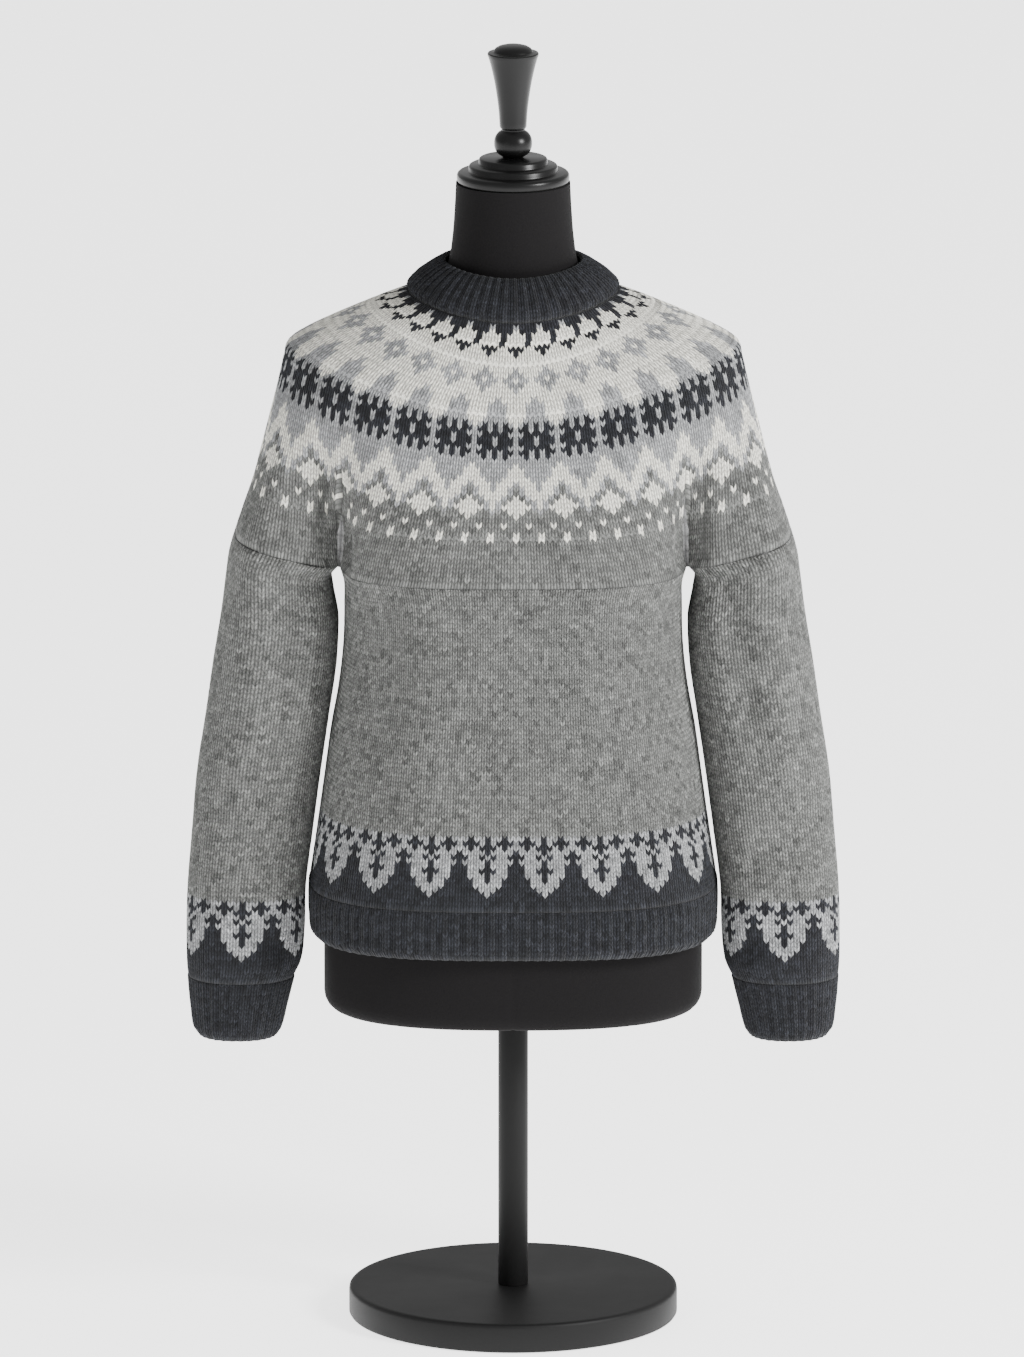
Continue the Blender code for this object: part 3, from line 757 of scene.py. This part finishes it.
# %% Sleeves and cuffs
SLEEVE_STITCHES = 60
sleeve_at, sleeve_rows = rounds_of(SLEEVE, SLEEVE_COLUMNS, sleeve_ring)
cuff_at, cuff_rows = rounds_of(CUFF, SLEEVE_COLUMNS, sleeve_ring)
sleeves, cuffs = [], []
for side, mirror in (("right", False), ("left", True)):
    sleeves.append(knit_tube(
        "sleeve_knit_" + side, sleeve_at, sleeve_rows, SLEEVE_STITCHES,
        lambda row, column: border(row - 2, column), 10, WOOL_GREY, mirror=mirror))
    cuffs.append(knit_tube(
        "cuff_knit_" + side, cuff_at, cuff_rows, SLEEVE_STITCHES, lambda row, column: "c", 10,
        WOOL_DARK, rib=0.0007, inside=DARK_INSIDE, mirror=mirror))

# %% [markdown]
# ## The yoke
# The yoke is knitted in the round over body and sleeves together. Stitches are taken out in four
# plain rounds, so the figures get smaller towards the neck while their number stays the same.

# %% Yoke
ZONES = (
    (0, 10, 256, lambda row, column: "g", 1),
    (11, 37, REPEATS * 8, lower_yoke, 8),
    (38, 47, REPEATS * 6, domes, 6),
    (48, 51, REPEATS * 5, crosses, 5),
    (52, 57, REPEATS * 4, teeth, 4),
)


def yoke_at(row, count):
    """Round of the yoke at a row number."""
    values = table_rows(YOKE_COLUMNS, YOKE, "row", np.array([min(row, 57.0)]))[0]
    return yoke_ring(values, count)


yoke_at = cached(yoke_at)
knit = Knit()
previous = None
for number, (first, last, stitches, chart, repeat) in enumerate(ZONES):
    edges = (number == 0, number == len(ZONES) - 1)
    low, high = knit_zone(knit, yoke_at, first, last, stitches, chart, repeat, edge=edges)
    if previous is not None:
        row_number = first - 1

        def tone_at(share, row_number=row_number, chart=chart, stitches=stitches, repeat=repeat):
            return stitch_colour(chart(max(row_number, first), int(share * stitches) % repeat))

        knit.strip(previous, low, tone_at, (row_number, row_number + 1.0))
    else:
        lowest = low
    previous = high
in_low, in_high = line_inside(knit, yoke_at, 0, 57, 112, WOOL, PALE_INSIDE)
knit.strip(in_low, lowest, GREY_INSIDE)
knit.strip(previous, in_high, GREY_INSIDE)
yoke = finish_knit(knit, "yoke_knit", WOOL_YOKE)

# %% [markdown]
# ## Neckband
# The neckband is a doubled rib that rolls over softly, so its wall is twice as thick.

# %% Neckband
def neck_at(row, count):
    """Round of the neckband at a row number."""
    values = table_rows(NECK_COLUMNS, NECKBAND, "row", np.array([min(row, 12.0)]))[0]
    return yoke_ring(values, count)


def neck_thickness(row):
    """The doubled rib is thick in the middle and thin at its fold."""
    data = np.array(NECKBAND)
    return float(curve(data[:, 0], data[:, -1], np.array([row]))[0])


neckband = knit_tube("neckband_knit", neck_at, 12, 112, lambda row, column: "c", 4, WOOL_DARK,
                     rib=0.0010, thick=neck_thickness, inside=DARK_INSIDE)

# %% [markdown]
# ## The padded form
# A shop form is a moulded shell padded and covered with jersey. The cover is sewn from panels, so
# fine seams run down the front and the back.

# %% Form
FORM_COLUMNS = ("z", "half", "front", "back", "power")
FORM_BOTTOM = 0.289
FORM_CORNER = 0.014
FORM = (
    (0.3030, 0.1705, 0.1190, 0.1140, 2.5), (0.3600, 0.1705, 0.1200, 0.1150, 2.4),
    (0.4200, 0.1660, 0.1195, 0.1140, 2.4), (0.4800, 0.1590, 0.1160, 0.1090, 2.3),
    (0.5400, 0.1490, 0.1100, 0.1030, 2.3), (0.6000, 0.1390, 0.1040, 0.0975, 2.3),
    (0.6500, 0.1370, 0.1040, 0.0960, 2.3), (0.7000, 0.1410, 0.1100, 0.0975, 2.4),
    (0.7400, 0.1455, 0.1130, 0.0990, 2.4), (0.7800, 0.1510, 0.1095, 0.1000, 2.4),
    (0.8150, 0.1600, 0.1030, 0.0990, 2.3), (0.8450, 0.1740, 0.0960, 0.0960, 2.2),
    (0.8650, 0.1850, 0.0890, 0.0920, 2.2), (0.8800, 0.1900, 0.0830, 0.0880, 2.1),
    (0.8920, 0.1890, 0.0770, 0.0840, 2.1), (0.9010, 0.1850, 0.0730, 0.0800, 2.1),
    (0.9090, 0.1735, 0.0700, 0.0770, 2.1), (0.9170, 0.1570, 0.0680, 0.0740, 2.1),
    (0.9250, 0.1375, 0.0660, 0.0700, 2.1), (0.9330, 0.1160, 0.0640, 0.0660, 2.0),
    (0.9410, 0.0915, 0.0620, 0.0620, 2.0), (0.9490, 0.0750, 0.0590, 0.0595, 2.0),
    (0.9590, 0.0640, 0.0570, 0.0570, 2.0), (0.9730, 0.0580, 0.0550, 0.0545, 2.0),
    (0.9950, 0.0545, 0.0530, 0.0525, 2.0), (1.0200, 0.0525, 0.0518, 0.0515, 2.0),
    (1.0456, 0.0512, 0.0510, 0.0508, 2.0),
)
SEAMS = (-0.106, 0.0, 0.106)
COUNT = 240
heights = np.concatenate([np.linspace(0.303, 0.86, 70), np.linspace(0.865, 1.0456, 70)])
rings = []
for turn in np.radians([0.0, 18.0, 36.0, 54.0, 72.0]):
    row = dict(zip(FORM_COLUMNS, FORM[0]))
    inset = FORM_CORNER * (1.0 - sin(turn))
    row.update({key: row[key] - inset for key in ("half", "front", "back")})
    row["z"] = FORM_BOTTOM + FORM_CORNER * (1.0 - cos(turn))
    rings.append(tube_ring(row, COUNT))
rings += [tube_ring(row, COUNT) for row in table_rows(FORM_COLUMNS, FORM, "z", heights)]
rings = np.array(rings)
seam = np.zeros(rings.shape[:2])
for x in SEAMS:
    reach = np.exp(-((rings[:, :, 0] - x) / 0.0011) ** 2)
    seam += np.where(rings[:, :, 2] < 0.93, reach, 0.0)
rings = rings - outward(rings) * (seam * 0.0007)[:, :, None]
form_points = rings.reshape(-1, 3)
form_faces = [tuple(range(COUNT - 1, -1, -1))]
for level in range(len(rings) - 1):
    for k in range(COUNT):
        n = (k + 1) % COUNT
        form_faces.append((level * COUNT + k, level * COUNT + n, (level + 1) * COUNT + n,
                           (level + 1) * COUNT + k))
form_faces.append(tuple(range((len(rings) - 1) * COUNT, len(rings) * COUNT)))
form_mesh = bpy.data.meshes.new("form_cover")
form_mesh.from_pydata(form_points.tolist(), [], form_faces)
form_mesh.shade_smooth()
form_mesh.set_sharp_from_angle(angle=radians(60.0))
form = bpy.data.objects.new("form_cover", form_mesh)
bpy.context.scene.collection.objects.link(form)

# %% [markdown]
# ## Black materials
# Jersey, satin lacquer and powder coat are all black, but they answer the light differently: the
# jersey scatters it, the lacquer reflects it softly and the powder coat is finely pebbled.

# %% Black materials
def dark_material(name, colour, roughness, scale, bump_distance, vary, sheen=0.0, gloss=0.3,
                  stretch=None):
    """A dark surface with its own grain, roughness changes and bump."""
    material = bpy.data.materials.new(name)
    material.use_nodes = True
    tree = material.node_tree
    shader = tree.nodes["Principled BSDF"]
    place = tree.nodes.new("ShaderNodeTexCoord").outputs["Object"]
    grain = noise(tree, place, scale, 3.0, 0.6, stretch)
    cloud = noise(tree, place, 9.0, 4.0, 0.6)
    tone = math_node(tree, "MULTIPLY_ADD", grain, vary, 1.0 - 0.5 * vary)
    tone = math_node(tree, "MULTIPLY", tone, math_node(tree, "MULTIPLY_ADD", cloud, 0.3, 0.85))
    scaled = tree.nodes.new("ShaderNodeVectorMath")
    scaled.operation = "SCALE"
    scaled.inputs[0].default_value = colour
    tree.links.new(tone, scaled.inputs["Scale"])
    tree.links.new(scaled.outputs[0], shader.inputs["Base Color"])
    rough = math_node(tree, "MULTIPLY_ADD", cloud, 0.16, roughness - 0.08)
    tree.links.new(rough, shader.inputs["Roughness"])
    bump = tree.nodes.new("ShaderNodeBump")
    bump.inputs["Distance"].default_value = bump_distance
    bump.inputs["Strength"].default_value = 0.6
    tree.links.new(grain, bump.inputs["Height"])
    tree.links.new(bump.outputs["Normal"], shader.inputs["Normal"])
    shader.inputs["Sheen Weight"].default_value = sheen
    shader.inputs["Specular IOR Level"].default_value = gloss
    return material


JERSEY = dark_material("black jersey", (0.0065, 0.0060, 0.0063), 0.85, scale=900.0,
                       bump_distance=0.0003, vary=0.7, sheen=0.02, gloss=0.08)
LACQUER = dark_material("black lacquer", (0.004, 0.004, 0.004), 0.30, scale=40.0,
                        bump_distance=0.00015, vary=0.3, sheen=0.0, gloss=0.2)
POWDER = dark_material("powder coat", (0.0075, 0.0075, 0.0075), 0.52, scale=1500.0,
                       bump_distance=0.00008, vary=0.3, sheen=0.0, gloss=0.15)
form_mesh.materials.append(JERSEY)

# %% [markdown]
# ## Turned parts
# The neck cap and the finial are turned on a lathe. Here a small circle is extruded and scaled
# ring by ring along the profile, as a turner would cut it, and then shaded smooth.

# %% Turned parts
def turned(name, profile, lift, material, sharp=35.0):
    """Extrude and scale a circle along a profile of (radius, height)."""
    bpy.ops.object.select_all(action="DESELECT")
    radius, height = profile[0]
    bpy.ops.mesh.primitive_circle_add(vertices=96, radius=radius, fill_type="NGON",
                                      location=(0.0, 0.0, height + lift))
    thing = bpy.context.object
    bpy.ops.object.mode_set(mode="EDIT")
    bpy.ops.mesh.select_all(action="SELECT")
    for new_radius, new_height in profile[1:]:
        bpy.ops.mesh.extrude_region_move(
            TRANSFORM_OT_translate={"value": (0.0, 0.0, new_height - height)})
        share = new_radius / radius
        bpy.ops.transform.resize(value=(share, share, 1.0), center_override=(0.0, 0.0, 0.0))
        radius, height = new_radius, new_height
    bpy.ops.mesh.select_all(action="SELECT")
    bpy.ops.mesh.normals_make_consistent(inside=False)
    bpy.ops.object.mode_set(mode="OBJECT")
    thing.name = name
    bpy.ops.object.shade_smooth_by_angle(angle=radians(sharp))
    thing.data.materials.append(material)
    return thing


CAP_PROFILE = (
    (0.0480, 0.0000), (0.0496, 0.0006), (0.0503, 0.0020), (0.0505, 0.0040), (0.0504, 0.0066),
    (0.0498, 0.0080), (0.0486, 0.0090), (0.0470, 0.0094), (0.0414, 0.0097), (0.0405, 0.0101),
    (0.0401, 0.0112), (0.0399, 0.0140), (0.0393, 0.0152), (0.0382, 0.0158), (0.0324, 0.0161),
    (0.0315, 0.0166), (0.0311, 0.0178), (0.0307, 0.0206), (0.0300, 0.0217), (0.0288, 0.0223),
)
FINIAL_PROFILE = (
    (0.0092, 0.0000), (0.0100, 0.0008), (0.0130, 0.0028), (0.0147, 0.0044), (0.0158, 0.0062),
    (0.0167, 0.0086), (0.0171, 0.0110), (0.0171, 0.0146), (0.0166, 0.0172), (0.0158, 0.0192),
    (0.0146, 0.0211), (0.0132, 0.0226), (0.0113, 0.0239), (0.0106, 0.0247), (0.0106, 0.0258),
    (0.0115, 0.0266), (0.0121, 0.0280), (0.0123, 0.0320), (0.0128, 0.0400), (0.0135, 0.0470),
    (0.0144, 0.0540), (0.0156, 0.0620), (0.0170, 0.0700), (0.0186, 0.0775), (0.0204, 0.0850),
    (0.0222, 0.0912), (0.0229, 0.0928), (0.0230, 0.0944), (0.0224, 0.0953), (0.0210, 0.0956),
    (0.0190, 0.0956), (0.0178, 0.0962), (0.0170, 0.0978), (0.0158, 0.0992), (0.0130, 0.1008),
    (0.0090, 0.1019), (0.0040, 0.1025),
)
cap = turned("cap_turned", CAP_PROFILE, 1.0460, LACQUER)
finial = turned("finial_turned", FINIAL_PROFILE, 1.0687, LACQUER)
pole = turned("pole_tube", ((0.0133, 0.0), (0.0135, 0.0004), (0.0135, 0.2614), (0.0133, 0.2618)),
              0.0268, POWDER)
BASE_PROFILE = (
    (0.1455, 0.0000), (0.1474, 0.0006), (0.1485, 0.0024), (0.1485, 0.0225), (0.1481, 0.0246),
    (0.1470, 0.0258), (0.1450, 0.0264), (0.1425, 0.0265),
)
base = turned("base_disc", BASE_PROFILE, 0.0, POWDER)

# %% [markdown]
# ## What each piece stands for
# Every shown piece takes the place of one solid of the frame, and the knitted ones say how large
# they lie flat. The sizes are measured on the rounds, once round by the height.

# %% Stand in for the frame's parts
def perimeter(ring):
    """Length once round."""
    return float(np.linalg.norm(np.roll(ring, -1, axis=0) - ring, axis=1).sum())


SHEETS = (
    (body, "body", "wool_grey", body_at, body_rows, 0.2943, "yoke"),
    (hem, "hem_rib", "wool_charcoal", hem_at, hem_rows, 0.046, "body"),
    (sleeves[0], "sleeve_right", "wool_grey", sleeve_at, sleeve_rows, 0.395, "yoke"),
    (sleeves[1], "sleeve_left", "wool_grey", sleeve_at, sleeve_rows, 0.395, "yoke"),
    (cuffs[0], "cuff_right", "wool_charcoal", cuff_at, cuff_rows, 0.055, "sleeve_right"),
    (cuffs[1], "cuff_left", "wool_charcoal", cuff_at, cuff_rows, 0.055, "sleeve_left"),
    (yoke, "yoke", "wool_pattern", yoke_at, 57, 0.262, "form_torso"),
    (neckband, "neckband", "wool_charcoal", neck_at, 12, 0.045, "yoke"),
)
for piece, node, slot_name, ring_at, rows, length, carrier in SHEETS:
    rounds = [perimeter(ring_at(float(row), 200)) for row in np.linspace(0, rows, 7)]
    width = max(rounds)
    print(node, "flat", round(width, 3), "x", length, "m")
    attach(piece, "root")
    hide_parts(node)
for piece, node, slot_name in (
    (form, "form_torso", "jersey_black"), (cap, "neck_cap", "lacquer_black"),
    (finial, "finial", "lacquer_black"), (pole, "pole", "metal_black"),
    (base, "base", "metal_black"),
):
    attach(piece, "root")
    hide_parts(node)

# %% [markdown]
# ## Floor and light
# A white sweep and one large soft key light from the right give the even, shadow-poor look of a
# shop picture; the left sleeve falls into gentle shade.

# %% Floor and light
bpy.ops.mesh.primitive_plane_add(size=30.0, location=(0.0, 8.0, -0.0004))
floor = bpy.context.object
floor.name = "floor"
paper = bpy.data.materials.new("white paper")
paper.use_nodes = True
paper_shader = paper.node_tree.nodes["Principled BSDF"]
paper_shader.inputs["Base Color"].default_value = (0.95, 0.95, 0.95, 1.0)
paper_shader.inputs["Roughness"].default_value = 0.95
paper_shader.inputs["Emission Color"].default_value = (1.0, 1.0, 1.0, 1.0)
paper_shader.inputs["Emission Strength"].default_value = 2.2
floor.data.materials.append(paper)

world = bpy.data.worlds.new("studio")
bpy.context.scene.world = world
world.use_nodes = True
world.node_tree.nodes["Background"].inputs["Color"].default_value = (1.0, 1.0, 1.0, 1.0)
world.node_tree.nodes["Background"].inputs["Strength"].default_value = 0.8


def area_light(name, place, target, size, power):
    """A soft box aimed at a point."""
    data = bpy.data.lights.new(name, "AREA")
    data.shape = "RECTANGLE"
    data.size, data.size_y = size
    data.energy = power
    thing = bpy.data.objects.new(name, data)
    bpy.context.scene.collection.objects.link(thing)
    thing.location = place
    thing.rotation_euler = (Vector(target) - Vector(place)).to_track_quat("-Z", "Y").to_euler()
    return thing


area_light("key", (3.0, -2.0, 2.3), (0.0, 0.0, 0.7), (1.0, 1.2), 230.0)
area_light("fill", (-2.4, -2.8, 1.2), (0.0, 0.0, 0.6), (1.6, 1.6), 4.0)
